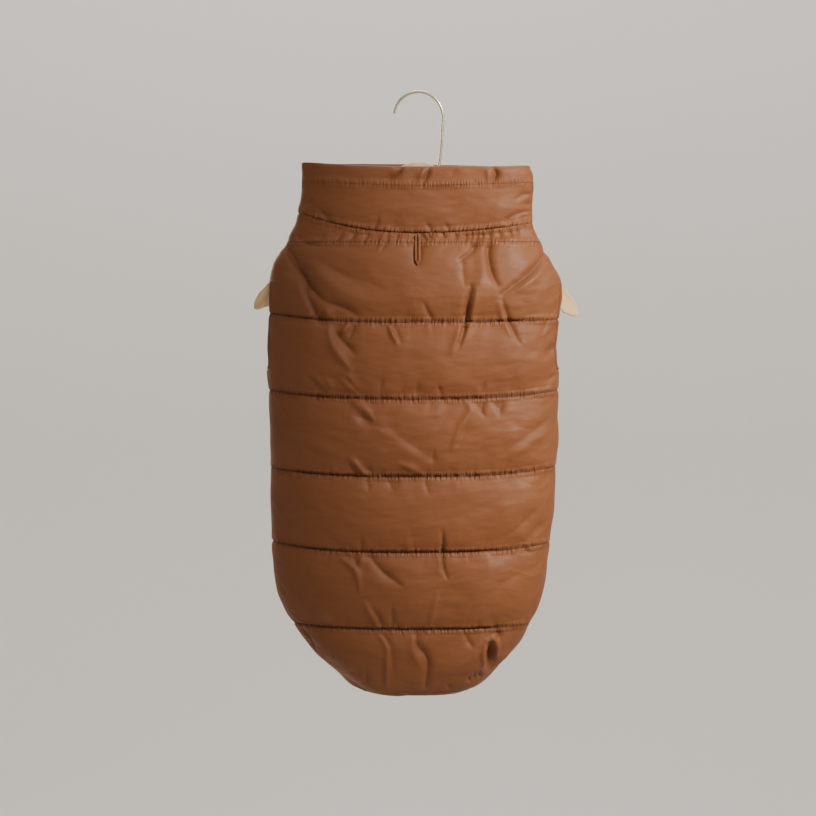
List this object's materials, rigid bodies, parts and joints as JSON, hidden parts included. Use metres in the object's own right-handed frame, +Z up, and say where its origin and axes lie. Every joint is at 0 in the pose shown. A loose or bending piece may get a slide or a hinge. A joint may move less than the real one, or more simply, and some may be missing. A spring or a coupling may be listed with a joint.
{
  "type": "dog winter coat on a hanger",
  "caption": "Quilted padded coat for a dog, with a standing collar, a rounded tail and a leash slit, hanging on a small wooden hanger with a wire hook.",
  "frame": {"origin": "On the underside of the wire at the top of the hook's bend, where a rail, nail or peg carries the whole object.", "axes": "+Z is up, +X is to the right as the coat's back is looked at, and the back panel faces -Y."},
  "size_m": [0.3233, 0.0795, 0.6048],
  "materials": {
    "shell_cloth": "brown woven nylon with a soft sheen, quilted over padding",
    "binding_thread": "close stitching in a slightly lighter brown thread",
    "pale_wood": "pale straight-grained wood, sanded, with a thin satin lacquer",
    "hook_wire": "plated steel wire, satin"
  },
  "bodies": {
    "root": {"back_panel": "shell_cloth", "belly_panel": "shell_cloth", "collar": "shell_cloth", "leash_slit_lips": "binding_thread", "hanger_plate": "pale_wood", "hanger_hook": "hook_wire"}
  },
  "joints": []
}
